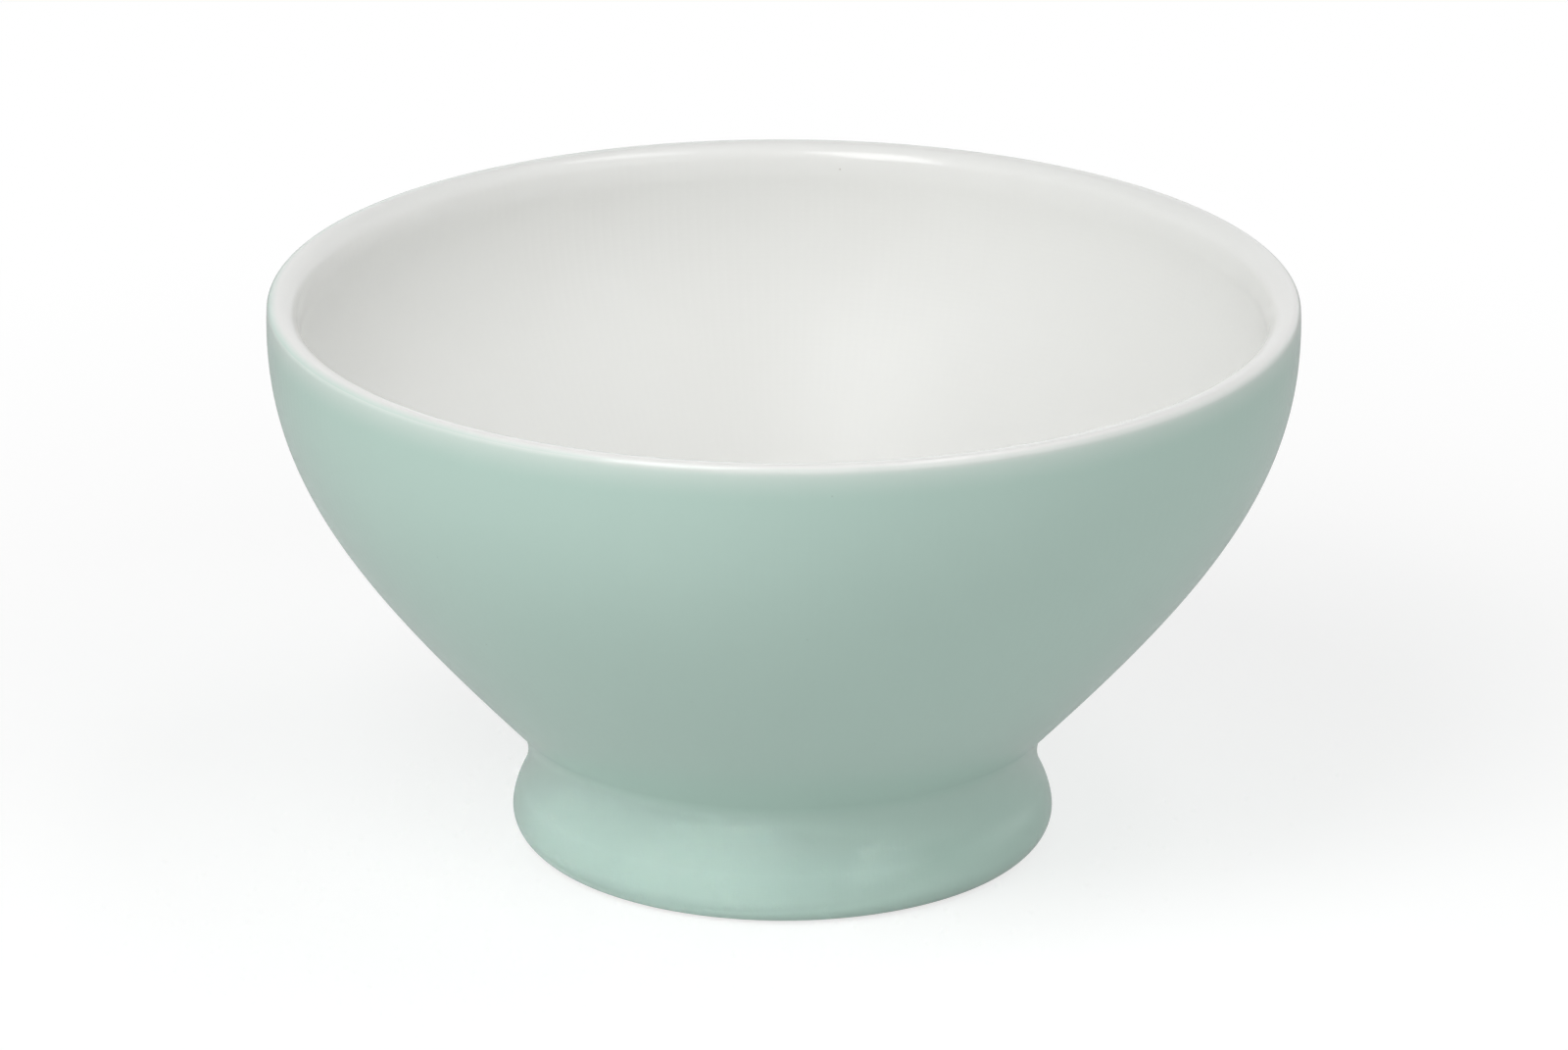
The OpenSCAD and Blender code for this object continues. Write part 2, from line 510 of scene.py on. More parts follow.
@dataclass(frozen=True)
class Term:
    """Output socket of a node. An expression on terms adds Math nodes."""

    graph: Graph
    socket: bpy.types.NodeSocket

    def __add__(self, other: Any) -> "Term":
        """Sum."""
        return self.graph.math("ADD", self, other)

    __radd__ = __add__

    def __mul__(self, other: Any) -> "Term":
        """Product."""
        return self.graph.math("MULTIPLY", self, other)

    __rmul__ = __mul__

    def __sub__(self, other: Any) -> "Term":
        """Difference."""
        return self.graph.math("SUBTRACT", self, other)

    def __rsub__(self, other: Any) -> "Term":
        """Difference the other way round."""
        return self.graph.math("SUBTRACT", other, self)

    def __pow__(self, other: Any) -> "Term":
        """Power."""
        return self.graph.math("POWER", self, other)


@dataclass(frozen=True)
class Ripple:
    """Smooth noise of one fineness: its waves in a metre, and its number of finer layers."""

    scale: float
    layers: float = 1.0


@dataclass(frozen=True)
class Specks:
    """Scattered specks: the share of the places that have one, the mean distance of the places, a speck's
    largest radius, and how much of it is at full strength. Lengths are in metres."""

    share: float
    spacing: float = 3.0 * MM
    radius: float = 0.2 * MM
    core_r: float = 0.2 * MM / 3


class Shader(Graph):
    """Graph of one material, with the steps that several finishes share."""

    def __init__(self, name: str) -> None:
        """Makes an empty material.

        Args:
            name: Name of the material.
        """
        self.material = bpy.data.materials.new(name)
        self.material.use_nodes = True
        self.material.node_tree.nodes.clear()
        super().__init__(self.material.node_tree)
        self.place = self.term(self.add("ShaderNodeTexCoord"), "Object")

    def moved(self, offset: float) -> Term:
        """Place on the piece, shifted alike along each axis to part one pattern from another."""
        shift = self.add("ShaderNodeVectorMath", {"operation": "ADD"}, i0=self.place, i1=(offset,) * 3)
        return self.term(shift)

    def noise(self, ripple: Ripple, offset: float) -> Term:
        """Smooth noise from 0 to 1.

        Args:
            ripple: Its fineness.
            offset: Shift of the pattern, in metres.

        Returns:
            The value.
        """
        place = self.moved(offset)
        node = self.add("ShaderNodeTexNoise", Vector=place, Scale=ripple.scale, Detail=ripple.layers)
        return self.term(node)

    def mix(self, share: Any, first: Any, second: Any) -> Term:
        """Mixes two colours.

        Args:
            share: Share of the second colour.
            first: The first colour.
            second: The second colour.

        Returns:
            The mixed colour.
        """
        # A Mix node has inputs for each type of data, and those for colours are numbers 6 and 7.
        settings = {"data_type": "RGBA", "clamp_factor": True}
        node = self.add("ShaderNodeMix", settings, i0=share, i6=first, i7=second)
        return self.term(node, 2)

    def specks(self, kind: Specks, offset: float) -> Term:
        """Scattered round specks.

        Args:
            kind: Their size and number.
            offset: Shift of the pattern, in metres.

        Returns:
            A mask that is 1 in a speck.
        """
        place = self.moved(offset)
        cells = self.add("ShaderNodeTexVoronoi", Vector=place, Scale=1 / kind.spacing, Randomness=1.0)
        far = self.term(cells, "Distance") * kind.spacing
        lot = self.term(self.add("ShaderNodeSeparateColor", Color=cells.outputs["Color"]), 0)
        chosen = self.math("LESS_THAN", lot, kind.share)
        return (1 - self.between(far, kind.core_r, kind.radius)) * chosen

    def bump(self, height: Term, depth: float, under: Any = None) -> Term:
        """Normal of a finely uneven surface.

        Args:
            height: The height, from 0 to 1.
            depth: What a height of 1 measures, in metres.
            under: Normal of a coarser bump that this one lies on.

        Returns:
            The normal.
        """
        node = self.add("ShaderNodeBump", Strength=1.0, Distance=depth, Height=height)
        if under is not None:
            self.feed(node.inputs["Normal"], under)
        return self.term(node)

    def finish(self, **values: Any) -> bpy.types.Material:
        """Closes the material with its surface shader.

        Args:
            values: Inputs of the Principled shader.

        Returns:
            The material.
        """
        surface = self.add("ShaderNodeBsdfPrincipled", **values)
        self.add("ShaderNodeOutputMaterial", Surface=surface.outputs[0])
        return self.material


def rgb(red: float, green: float, blue: float) -> Colour:
    """Opaque colour from three linear shares."""
    return (red, green, blue, 1.0)


def grey(share: float) -> Colour:
    """Opaque grey, from 0 for black to 1 for white."""
    return rgb(share, share, share)


@dataclass(frozen=True)
class GlazeFinish:
    """Fired glass coat. Colours are linear, and depths, widths and runs are in metres.

    Near its edge on the lip the coat shows the paler thinned_and_lit colour. This is partly because the glaze
    is thinner there and partly painted highlight: a lighter band just under the lip, as if its round caught
    light from above. Past the edge it shows the other coat's colour, and its gloss on the lip fades out over
    gloss_run.
    side is 1 for the coat that lies below the edge outside and -1 for the one inside.
    """

    name: str
    body: Colour
    beyond: Colour
    cloud: Colour
    # Colour of the paler band under the lip: thinner glaze, and painted highlight on the mint.
    thinned_and_lit: Colour
    speck: Colour
    specks: Specks
    roughness: float
    inner_roughness: float
    roughness_swing: float
    side: int
    ior: float = 1.5
    lip_gloss: float = 0.0
    lip_roughness: float = 0.1
    gloss_from: float = 4.5 * MM
    gloss_run: float = 9.0 * MM
    # Strength and reach of that paler band, which is partly painted highlight.
    thin_and_lit_strength: float = 1.6
    thin_and_lit_run: float = 4.5 * MM
    blend_w: float = 0.85 * MM
    edge_drop: float = -0.3 * MM
    edge_tilt: tuple[float, float, float] = (0.0054, -0.0069, 0.0)
    edge_waver: float = 0.5 * MM
    waver_waves: Ripple = Ripple(60.0, 2.0)
    waver_offset: float = 0.3
    cloud_waves: Ripple = Ripple(22.0, 3.0)
    cloud_range: tuple[float, float] = (0.35, 0.75)
    cloud_share: float = 0.5
    speck_strength: float = 0.6
    gloss_waves: Ripple = Ripple(160.0, 2.0)
    wave_waves: Ripple = Ripple(35.0)
    wave_depth: float = 0.05 * MM
    peel_waves: Ripple = Ripple(420.0)
    peel_depth: float = 0.006 * MM
    offset: float = 0.0

    def material(self) -> bpy.types.Material:
        """Builds the glaze's material.

        Returns:
            The material.
        """
        graph = Shader(self.name)
        clouds = graph.between(graph.noise(self.cloud_waves, self.offset), *self.cloud_range)
        colour = graph.mix(clouds * self.cloud_share, self.body, self.cloud)
        specks = graph.specks(self.specks, self.offset)
        colour = graph.mix(specks * self.speck_strength, colour, self.speck)
        run = graph.term(graph.add("ShaderNodeAttribute", {"attribute_name": EDGE_RUN}), "Fac")
        # Paler band under the lip: partly thinner glaze, partly painted highlight as if lit from above.
        thin_and_lit = (1 - graph.between(run, -self.thin_and_lit_run, self.thin_and_lit_run)) * self.thin_and_lit_strength
        colour = graph.mix(thin_and_lit, colour, self.thinned_and_lit)
        colour = graph.mix(self.past_edge(graph, run), colour, self.beyond)
        beyond_lip = graph.between(run, self.gloss_from, self.gloss_run)
        dull = beyond_lip * (self.inner_roughness - self.roughness)
        swing = graph.noise(self.gloss_waves, self.offset) * self.roughness_swing
        waves = graph.bump(graph.noise(self.wave_waves, self.offset), self.wave_depth)
        peel = graph.bump(graph.noise(self.peel_waves, self.offset), self.peel_depth, waves)
        return graph.finish(
            Base_Color=colour,
            Roughness=swing + self.roughness + dull,
            Normal=peel,
            IOR=self.ior,
            Coat_Weight=(1 - beyond_lip) * self.lip_gloss if self.lip_gloss else 0.0,
            Coat_Roughness=self.lip_roughness,
        )

    def past_edge(self, graph: Shader, run: Term) -> Term:
        """Share of the other coat's colour, where the two coats melt together on the lip.

        Args:
            graph: The graph of the material.
            run: Way from the edge of the coat.

        Returns:
            The share, which is half on the line where the colours part.
        """
        tilt = graph.add(
            "ShaderNodeVectorMath", {"operation": "DOT_PRODUCT"}, i0=graph.place, i1=self.edge_tilt
        )
        waver = (graph.noise(self.waver_waves, self.waver_offset) - NOISE_MIDDLE) * self.edge_waver
        drop = graph.term(tilt, "Value") + waver + self.edge_drop
        return 1 - graph.between(run - drop * self.side, -self.blend_w, self.blend_w)


@dataclass(frozen=True)
class BareFinish:
    """Unglazed fired clay. Colours are linear, and depths are in metres."""

    name: str
    body: Colour
    stain: Colour
    stain_waves: Ripple = Ripple(140.0, 4.0)
    stain_range: tuple[float, float] = (0.45, 0.75)
    stain_strength: float = 0.5
    grit: Specks = Specks(share=0.3, spacing=0.8 * MM, radius=0.12 * MM, core_r=0.04 * MM)
    grit_strength: float = 0.5
    roughness: float = 0.7
    roughness_swing: float = 0.2
    dull_waves: Ripple = Ripple(900.0, 2.0)
    grain_waves: Ripple = Ripple(2500.0, 3.0)
    grain_depth: float = 0.02 * MM
    offset: float = 0.0

    def material(self) -> bpy.types.Material:
        """Builds the bare clay's material.

        Returns:
            The material.
        """
        graph = Shader(self.name)
        stains = graph.between(graph.noise(self.stain_waves, self.offset), *self.stain_range)
        grit = graph.specks(self.grit, self.offset)
        colour = graph.mix(stains * self.stain_strength, self.body, self.stain)
        colour = graph.mix(grit * self.grit_strength, colour, self.stain)
        dull = graph.noise(self.dull_waves, self.offset) * self.roughness_swing + self.roughness
        grain = graph.bump(graph.noise(self.grain_waves, self.offset), self.grain_depth)
        return graph.finish(Base_Color=colour, Roughness=dull, Normal=grain)


MINT = rgb(0.455, 0.61, 0.545)
WHITE = rgb(0.80, 0.805, 0.786)

FINISHES: dict[Slot, GlazeFinish | BareFinish] = {
    Slot.MINT: GlazeFinish(
        name="mint_glaze",
        body=MINT,
        beyond=WHITE,
        # Paler mint just under the lip: thinner glaze, and painted highlight.
        thinned_and_lit=rgb(0.66, 0.735, 0.69),
        cloud=rgb(0.44, 0.60, 0.535),
        speck=rgb(0.36, 0.48, 0.43),
        specks=Specks(share=0.08),
        side=1,
        roughness=0.12,
        inner_roughness=0.18,
        roughness_swing=0.06,
    ),
    Slot.WHITE: GlazeFinish(
        name="white_glaze",
        body=WHITE,
        beyond=MINT,
        thinned_and_lit=WHITE,
        cloud=rgb(0.78, 0.78, 0.757),
        speck=rgb(0.45, 0.42, 0.38),
        specks=Specks(share=0.03),
        side=-1,
        # Rough alike on the lip and inside: a change across 0.27 draws a line in the denoised render.
        roughness=0.38,
        inner_roughness=0.38,
        lip_gloss=0.85,
        roughness_swing=0.05,
        offset=0.7,
    ),
    Slot.CHINA: BareFinish(
        name="bare_china",
        body=rgb(0.76, 0.74, 0.69),
        stain=rgb(0.60, 0.56, 0.50),
    ),
    Slot.SLIP: BareFinish(
        name="fired_slip",
        body=rgb(0.70, 0.66, 0.59),
        stain=rgb(0.55, 0.50, 0.43),
        offset=0.4,
    ),
}


class Lathe:
    """Geometry Nodes tree that turns an outline about the Z axis."""

    INPUTS = {
        "Outline": "NodeSocketGeometry",
        "Outline points": "NodeSocketInt",
        "Steps round": "NodeSocketInt",
        "Sharp angle": "NodeSocketFloat",
        "Merge distance": "NodeSocketFloat",
        "Finish": "NodeSocketMaterial",
    }
    GRID_SIZE = 1.0

    def __init__(self) -> None:
        """Builds the tree and keeps the identifiers of its inputs."""
        self.tree = bpy.data.node_groups.new("turned_outline", "GeometryNodeTree")
        sockets = self.tree.interface
        self.inputs = {
            name: sockets.new_socket(name, in_out="INPUT", socket_type=kind).identifier
            for name, kind in self.INPUTS.items()
        }
        sockets.new_socket("Turned", in_out="OUTPUT", socket_type="NodeSocketGeometry")
        self._build(Graph(self.tree))

    def _build(self, graph: Graph) -> None:
        """Fills the tree: a square grid, whose X runs along the outline and whose Y runs round the axis.

        Args:
            graph: The graph on the tree.
        """
        given = graph.add("NodeGroupInput")
        points = graph.term(given, "Outline points")
        steps = graph.term(given, "Steps round")
        grid = graph.add(
            "GeometryNodeMeshGrid",
            Size_X=self.GRID_SIZE,
            Size_Y=self.GRID_SIZE,
            Vertices_X=points,
            Vertices_Y=steps + 1,
        )
        position = graph.add("GeometryNodeInputPosition").outputs[0]
        spot = graph.add("ShaderNodeSeparateXYZ", Vector=position)
        index = graph.math("ROUND", (graph.term(spot, 0) + self.GRID_SIZE / 2) * (points - 1))
        turn = (graph.term(spot, 1) + self.GRID_SIZE / 2) * math.tau

        run = graph.add("GeometryNodeInputNamedAttribute", {"data_type": "FLOAT"}, Name=EDGE_RUN)
        run_there = graph.add(
            "GeometryNodeSampleIndex",
            {"data_type": "FLOAT", "domain": "POINT"},
            Geometry=given.outputs["Outline"],
            Value=run.outputs[0],
            Index=index,
        )
        place_there = graph.add(
            "GeometryNodeSampleIndex",
            {"data_type": "FLOAT_VECTOR", "domain": "POINT"},
            Geometry=given.outputs["Outline"],
            Value=position,
            Index=index,
        )
        stored = graph.add(
            "GeometryNodeStoreNamedAttribute",
            {"data_type": "FLOAT", "domain": "POINT"},
            Geometry=grid.outputs["Mesh"],
            Name=EDGE_RUN,
            Value=run_there.outputs[0],
        )
        turned = graph.add(
            "ShaderNodeVectorRotate",
            {"rotation_type": "Z_AXIS"},
            Vector=place_there.outputs[0],
            Angle=turn,
        )
        placed = graph.add(
            "GeometryNodeSetPosition", Geometry=stored.outputs[0], Position=turned.outputs[0]
        )
        merged = graph.add(
            "GeometryNodeMergeByDistance",
            Geometry=placed.outputs[0],
            Distance=given.outputs["Merge distance"],
        )
        # A stretch of the outline that lies on the axis ends as one edge with no face, which goes.
        faces = graph.term(graph.add("GeometryNodeInputMeshEdgeNeighbors"), "Face Count")
        whole = graph.add(
            "GeometryNodeDeleteGeometry",
            {"domain": "EDGE"},
            Geometry=merged.outputs[0],
            Selection=graph.math("LESS_THAN", faces, 1),
        )
        angle = graph.term(graph.add("GeometryNodeInputMeshEdgeAngle"), "Unsigned Angle")
        smooth = graph.add(
            "GeometryNodeSetShadeSmooth",
            {"domain": "EDGE"},
            Geometry=whole.outputs[0],
            Shade_Smooth=graph.math("LESS_THAN", angle, graph.term(given, "Sharp angle")),
        )
        real = graph.add("GeometryNodeRealizeInstances", Geometry=smooth.outputs[0])
        dressed = graph.add(
            "GeometryNodeSetMaterial", Geometry=real.outputs[0], Material=given.outputs["Finish"]
        )
        graph.add("NodeGroupOutput", Turned=dressed.outputs[0])

    def turn(self, name: str, outline: Outline, runs: list[float], **sizes: Any) -> bpy.types.Object:
        """Turns one outline into a piece.

        Args:
            name: Name of the piece.
            outline: Radius and height of its points, in millimetres, clockwise and closed.
            runs: Way along the surface from the edge of the coat to each point, in millimetres.
            sizes: Values of the tree's other inputs, by name with _ for a space.

        Returns:
            The piece as a plain mesh, with its place in its vertices.
        """
        line = bpy.data.meshes.new(name + "_outline")
        line.from_pydata([(p.x * MM, 0.0, p.y * MM) for p in outline], [], [])
        attribute = line.attributes.new(EDGE_RUN, "FLOAT", "POINT")
        attribute.data.foreach_set("value", [run * MM for run in runs])
        blank = bpy.data.objects.new(name + "_blank", line)
        bpy.context.scene.collection.objects.link(blank)
        lathe = blank.modifiers.new("lathe", "NODES")
        lathe.node_group = self.tree
        lathe[self.inputs["Outline points"]] = len(outline)
        for key, value in sizes.items():
            lathe[self.inputs[key.replace("_", " ")]] = value
        depsgraph = bpy.context.evaluated_depsgraph_get()
        mesh = bpy.data.meshes.new_from_object(blank.evaluated_get(depsgraph))
        bpy.data.objects.remove(blank)
        piece = bpy.data.objects.new(name, mesh)
        bpy.context.scene.collection.objects.link(piece)
        return piece


def length_along(line: Outline) -> list[float]:
    """Way along a line from its first point to each of its points.

    Args:
        line: The points.

    Returns:
        The lengths, in the line's own units.
    """
    runs = [0.0]
    for before, after in zip(line, line[1:]):
        runs.append(runs[-1] + (after - before).length)
    return runs


def area_within(line: Outline) -> float:
    """Area within a closed line, which is negative for a line that runs clockwise."""
    return sum(before.cross(after) for before, after in zip(line, line[1:])) / 2


@dataclass
class TurnedWare:
    """The turned pieces that show: three glass coats and the bare foot."""

    form: BowlForm
    materials: dict[Slot, bpy.types.Material]
    steps_round: int = 288
    sharp_angle: float = 40.0
    merge_distance: float = 0.001
    bead_points: int = 6
    hidden_stride: int = 3
    away_from_edge: float = 50.0
    lathe: Lathe = field(default_factory=Lathe)

    def coat(
        self, name: str, node: str, slot: Slot, china: Outline, glaze: Outline, melts: bool, bead: bool
    ) -> None:
        """Turns a glass coat.

        Args:
            name: Name of the piece.
            node: The solid that it stands for.
            slot: Its material slot.
            china: Line of the coat's inner face.
            glaze: Line of its outer face, with its first and last points beside the other line's.
            melts: Whether it melts into another coat at its first point.
            bead: Whether it ends in a round bead at its last point.
        """
        runs = length_along(glaze) if melts else [self.away_from_edge] * len(glaze)
        end = self.bead_line(glaze[-1], china[-1])[1:-1] if bead else []
        back = china[:1] + china[1:-1][:: self.hidden_stride] + china[-1:]
        back.reverse()
        outline = glaze + end + back + glaze[:1]
        hidden = [self.away_from_edge] * (len(end) + len(back))
        self.keep(name, node, slot, outline, runs + hidden + runs[:1])

    def bead_line(self, first: Vector, last: Vector) -> Outline:
        """Half round bead between the two faces at the end of a coat.

        Args:
            first: Last point of the outer face.
            last: Last point of the inner face.

        Returns:
            The points, both ends included.
        """
        middle = first.lerp(last, 0.5)
        radius = (last - first).length / 2
        turn = heading(middle, first)
        return curve(middle, radius, turn, turn - HALF_TURN, HALF_TURN / self.bead_points)

    def keep(self, name: str, node: str, slot: Slot, outline: Outline, runs: list[float]) -> None:
        """Turns an outline, dresses it in the finish of its slot, gives it its body and hides the solid that
        it stands for.

        Args:
            name: Name of the piece.
            node: The solid that it stands for.
            slot: Its material slot.
            outline: Radius and height of its points.
            runs: Way from the edge of the coat to each point.
        """
        if area_within(outline) > 0:
            outline, runs = outline[::-1], runs[::-1]
        piece = self.lathe.turn(
            name,
            outline,
            runs,
            Steps_round=self.steps_round,
            Sharp_angle=math.radians(self.sharp_angle),
            Merge_distance=self.merge_distance * MM,
            Finish=self.materials[slot],
        )
        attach(piece, BODY)
        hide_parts(node)
        LOG.info("%s: %d faces, for %s", name, len(piece.data.polygons), node)

    def build(self) -> None:
        """Turns every piece."""
        form = self.form
        glaze_t = form.glaze_t
        outside = (form.outside_line(0), form.outside_line(glaze_t))
        inside = (form.inside_line(0), form.inside_line(glaze_t))
        well = (form.well_line(0), form.well_line(glaze_t))
        self.coat("mint_coat", "outer_glaze", Slot.MINT, *outside, melts=True, bead=True)
        self.coat("white_coat", "inner_glaze", Slot.WHITE, *inside, melts=True, bead=False)
        self.coat("well_coat", "well_glaze", Slot.MINT, *well, melts=False, bead=False)
        foot = form.foot_outline()
        self.keep("bare_foot", "foot_ring", Slot.CHINA, foot, [self.away_from_edge] * len(foot))


class HiddenClay:
    """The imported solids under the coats, which keep their own meshes."""

    NODES = {"bowl_wall": Slot.CHINA, "joint_slip": Slot.SLIP}

    def __init__(self, materials: dict[Slot, bpy.types.Material]) -> None:
        """Keeps the materials.

        Args:
            materials: The finishes by slot.
        """
        self.materials = materials

    def dress(self) -> None:
        """Gives each solid its finish."""
        for name, slot in self.NODES.items():
            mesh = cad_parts[name].data
            mesh.materials.clear()
            mesh.materials.append(self.materials[slot])
            LOG.info("%s: dressed in %s", name, slot.value)


@dataclass(frozen=True)
class Lamp:
    """Soft box over the table. Lengths are in metres, angles in degrees and the power in watts.

    It points aim_drop below the studio's aim, its light fans out by spread, and reflections show it where it
    is mirrored.
    """

    name: str
    azimuth: float
    elevation: float
    distance: float
    width: float
    height: float
    power: float
    mirrored: bool = False
    spread: float = 180.0
    aim_drop: float = 0.0

    def place(self, aim: Vector) -> bpy.types.Object:
        """Hangs the lamp where it faces a point.

        Args:
            aim: The point, in metres.

        Returns:
            The lamp.
        """
        data = bpy.data.lights.new(self.name, "AREA")
        data.shape = "RECTANGLE"
        data.size = self.width
        data.size_y = self.height
        data.energy = self.power
        data.spread = math.radians(self.spread)
        lamp = bpy.data.objects.new(self.name, data)
        bpy.context.scene.collection.objects.link(lamp)
        low_aim = aim - Vector((0.0, 0.0, self.aim_drop))
        lamp.matrix_world = facing(low_aim, self.azimuth, self.elevation, self.distance)
        lamp.visible_glossy = self.mirrored
        return lamp


def facing(aim: Vector, azimuth: float, elevation: float, distance: float, roll: float = 0.0) -> Matrix:
    """Placement of a camera or lamp that looks at a point.

    Args:
        aim: The point, in metres.
        azimuth: Turn about the bowl, in degrees: 0 is on the photograph's side, and more goes to its left.
        elevation: Height above the level, in degrees.
        distance: Distance from the point, in metres.
        roll: Turn about the line of sight, in degrees.

    Returns:
        The placement.
    """
    across = math.radians(azimuth)
    up = math.radians(elevation)
    away = Vector((-math.sin(across) * math.cos(up), -math.cos(across) * math.cos(up), math.sin(up)))
    look = away.to_track_quat("Z", "Y").to_matrix().to_4x4()
    return Matrix.Translation(aim + away * distance) @ look @ Matrix.Rotation(math.radians(roll), 4, "Z")


@dataclass
class Studio:
    """Camera, lamps, floor and surroundings.

    Lengths are in metres, but the lens and sensor are in millimetres, and angles are in degrees. Greys and
    strengths run from 0 to 1, which is white. The room is what reflections show: behind and before the bowl
    and above it. The near floor carries the bowl's shadow and turns white further out.
    """

    aim: Vector = field(default_factory=lambda: Vector((0.0001, 0.0, 0.04374)))
    camera_elevation: float = 20.404
    camera_distance: float = 0.98
    camera_roll: float = 0.15
    clip_from: float = 0.098
    clip_to: float = 16.0
    lens: float = 164.18
    sensor: float = 36.0
    ambient: float = 0.15
    room_behind: float = 1.0
    room_before: float = 0.25
    room_above: float = 0.4
    room_turn: float = 0.3
    above_from: float = 0.35
    above_to: float = 0.75
    floor_hole_r: float = 0.0346
    floor_r: float = 4.0
    floor_white_from: float = 0.10
    floor_white_at: float = 0.28
    floor_steps: int = 96
    floor_grey: float = 0.75
    floor_shaded: float = 0.37
    floor_glow: float = 0.68
    near_mirrored: float = 0.3
    far_mirrored: float = 0.45
    # Name, azimuth, elevation, distance, width, height and power of each lamp.
    lamps: tuple[Lamp, ...] = (
        Lamp("key_box", 31.5, 54.0, 0.75, 0.26, 0.46, 1.5, mirrored=True),
        Lamp("overhead_box", -87.0, 72.0, 1.2, 0.62, 0.21, 1.0, mirrored=True),
        Lamp("key_fill", 38.0, 38.0, 0.9, 0.6, 0.5, 1.6),
        Lamp("right_front_fill", -45.0, 30.0, 1.3, 0.8, 0.8, 4.6),
        Lamp("left_fill", 65.0, 25.0, 1.3, 0.9, 0.9, 5.6),
        Lamp("right_fill", -100.0, 40.0, 1.3, 0.8, 0.8, 2.9),
        Lamp("back_fill", 180.0, 40.0, 1.3, 1.0, 0.8, 0.8),
        Lamp("foot_fill", 42.0, 15.0, 0.9, 0.09, 0.01, 0.0014, spread=3.0, aim_drop=0.0495),
    )

    def place_camera(self) -> None:
        """Sets the camera to the photograph's view."""
        data = bpy.data.cameras.new("photo_camera")
        data.lens = self.lens
        data.sensor_width = self.sensor
        data.clip_start = self.clip_from
        data.clip_end = self.clip_to
        camera = bpy.data.objects.new("photo_camera", data)
        bpy.context.scene.collection.objects.link(camera)
        camera.matrix_world = facing(
            self.aim, 0.0, self.camera_elevation, self.camera_distance, self.camera_roll
        )
        bpy.context.scene.camera = camera

    def place_lamps(self) -> None:
        """Hangs every lamp."""
        for lamp in self.lamps:
            lamp.place(self.aim)

    def light_surroundings(self) -> None:
        """Makes the world white to the eye, a room to reflections and a level fill light to the rest."""
        world = bpy.data.worlds.new("studio")
        bpy.context.scene.world = world
        world.use_nodes = True
        world.node_tree.nodes.clear()
        graph = Graph(world.node_tree)
        direction = graph.add("ShaderNodeTexCoord").outputs["Generated"]
        axes = graph.add("ShaderNodeSeparateXYZ", Vector=direction)
        behind = graph.between(graph.term(axes, 1), -self.room_turn, self.room_turn)
        above = graph.between(graph.term(axes, 2), self.above_from, self.above_to)
        around = behind * (self.room_behind - self.room_before) + self.room_before
        room = around * (1 - above) + above * self.room_above
        camera, mirrored = self.rays(graph)
        strength = camera + mirrored * room + (1 - camera - mirrored) * self.ambient
        light = graph.add("ShaderNodeBackground", Color=grey(1.0), Strength=strength)
        graph.add("ShaderNodeOutputWorld", Surface=light.outputs[0])

    @staticmethod
    def rays(graph: Graph) -> tuple[Term, Term]:
        """Tells where a ray comes from.

        Args:
            graph: The graph that asks.

        Returns:
            Whether it comes from the camera, and whether from a reflection or a glass, as 0 or 1.
        """
        path = graph.add("ShaderNodeLightPath")
        glossy = graph.term(path, "Is Glossy Ray")
        glass = graph.term(path, "Is Transmission Ray")
        return graph.term(path, "Is Camera Ray"), graph.math("MAXIMUM", glossy, glass)

    def lay_floor(self) -> None:
        """Lays a round pale floor, open under the bowl, that can't be seen from below."""
        rings = (self.floor_hole_r, self.floor_white_at, self.floor_r)
        steps = self.floor_steps
        turns = [math.tau * i / steps for i in range(steps)]
        spots = [(math.cos(turn), math.sin(turn)) for turn in turns]
        points = [(radius * x, radius * y, 0.0) for radius in rings for x, y in spots]
        faces = []
        for inner in range(0, len(points) - steps, steps):
            outer = inner + steps
            for i in range(steps):
                j = (i + 1) % steps
                faces.append((inner + i, outer + i, outer + j, inner + j))
        mesh = bpy.data.meshes.new("pale_floor")
        mesh.from_pydata(points, [], faces)
        mesh.materials.append(self.floor_material())
        floor = bpy.data.objects.new("pale_floor", mesh)
        bpy.context.scene.collection.objects.link(floor)

    def floor_material(self) -> bpy.types.Material:
        """Builds the floor's material: white to the eye, with the bowl's soft shadow.

        Returns:
            The material.
        """
        graph = Shader("pale_floor")
        axes = graph.add("ShaderNodeSeparateXYZ", Vector=graph.place)
        away = (graph.term(axes, 0) ** 2.0 + graph.term(axes, 1) ** 2.0) ** 0.5
        far = graph.between(away, self.floor_white_from, self.floor_white_at)
        plain = graph.add("ShaderNodeBsdfDiffuse", Color=grey(self.floor_grey))
        shaded = graph.add("ShaderNodeBsdfDiffuse", Color=grey(self.floor_shaded))
        camera, mirrored = self.rays(graph)
        glow = graph.add(
            "ShaderNodeEmission", Strength=camera * self.floor_glow + mirrored * self.near_mirrored
        )
        near = graph.add("ShaderNodeAddShader", i0=shaded.outputs[0], i1=glow.outputs[0])
        white = graph.add("ShaderNodeEmission", Strength=camera + mirrored * self.far_mirrored)
        shown = graph.add("ShaderNodeMixShader", i0=far, i1=near.outputs[0], i2=white.outputs[0])
        top = graph.add(
            "ShaderNodeMixShader", i0=camera + mirrored, i1=plain.outputs[0], i2=shown.outputs[0]
        )
        below = graph.add("ShaderNodeNewGeometry").outputs["Backfacing"]
        clear = graph.add("ShaderNodeBsdfTransparent")
        whole = graph.add("ShaderNodeMixShader", i0=below, i1=top.outputs[0], i2=clear.outputs[0])
        graph.add("ShaderNodeOutputMaterial", Surface=whole.outputs[0])
        return graph.material

    def set_up(self) -> None:
        """Sets up the whole studio."""
        bpy.context.scene.view_settings.view_transform = "Standard"
        self.place_camera()
        self.place_lamps()
        self.light_surroundings()
        self.lay_floor()
        LOG.info("studio: %d lamps", len(self.lamps))


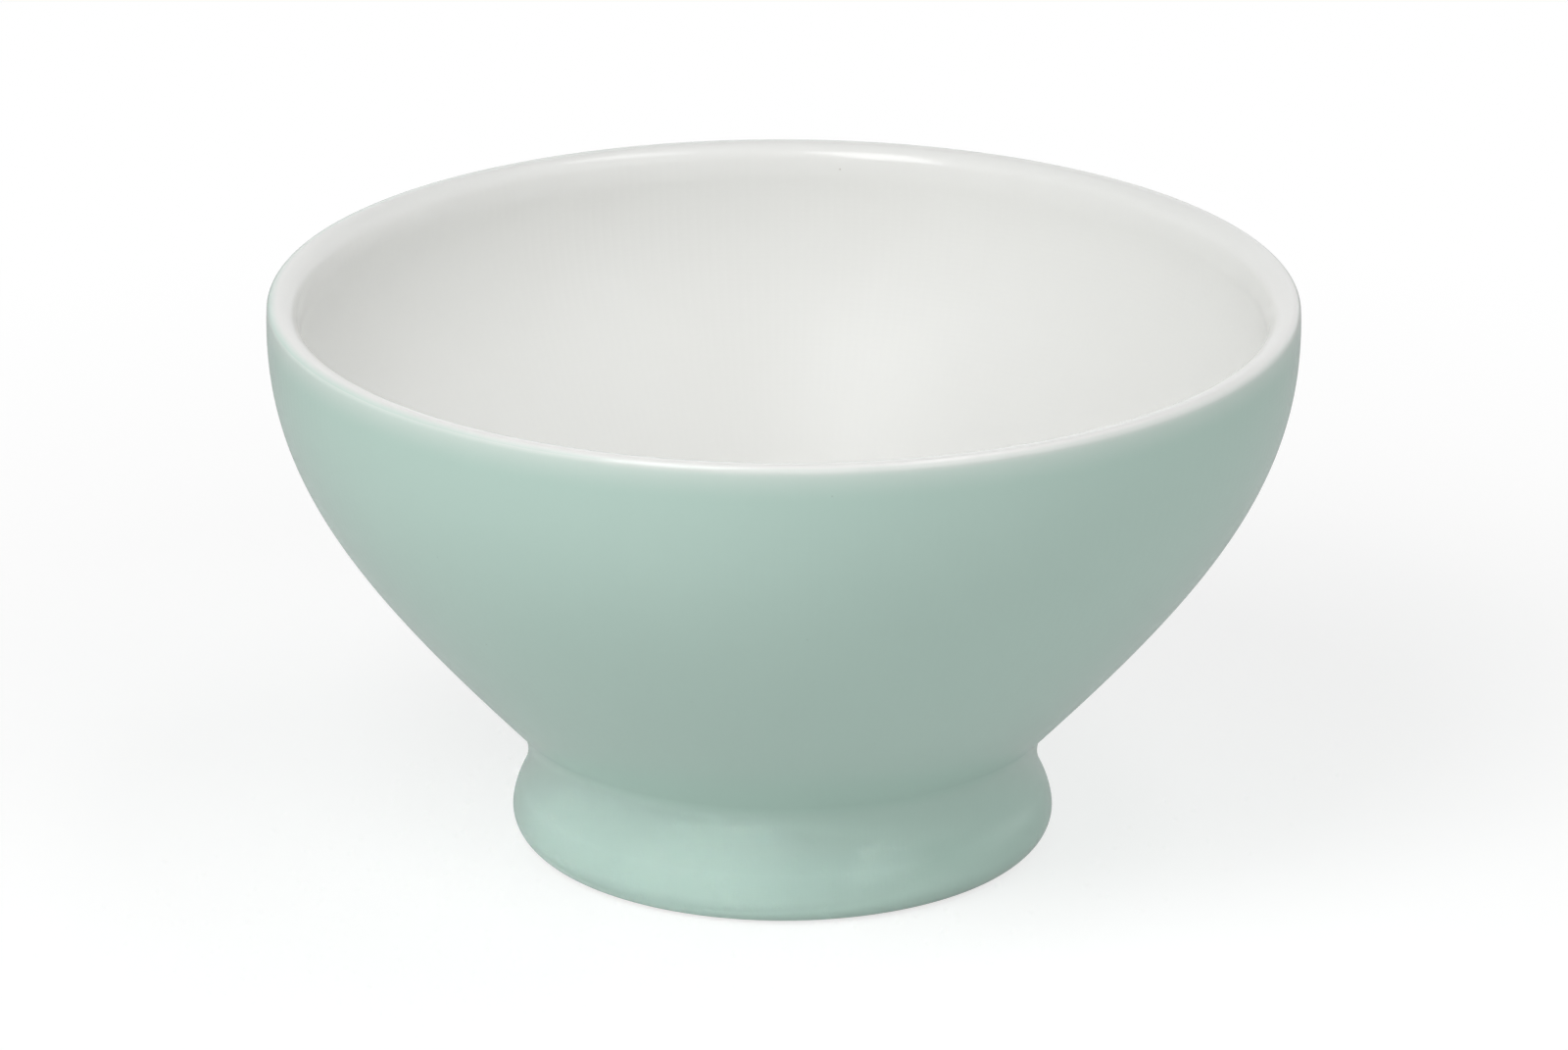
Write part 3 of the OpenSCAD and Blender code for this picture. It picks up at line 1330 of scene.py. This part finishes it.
def main() -> None:
    """Builds and dresses the bowl, then sets up the studio."""
    logging.basicConfig(level=logging.INFO, format="%(name)s: %(message)s")
    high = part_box("outer_glaze")[1]
    lip_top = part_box("inner_glaze")[1].z
    form = BowlForm(widest_r=high.x / MM, height=lip_top / MM)
    materials = {slot: finish.material() for slot, finish in FINISHES.items()}
    TurnedWare(form, materials).build()
    HiddenClay(materials).dress()
    Studio().set_up()


if __name__ == "__main__":
    main()
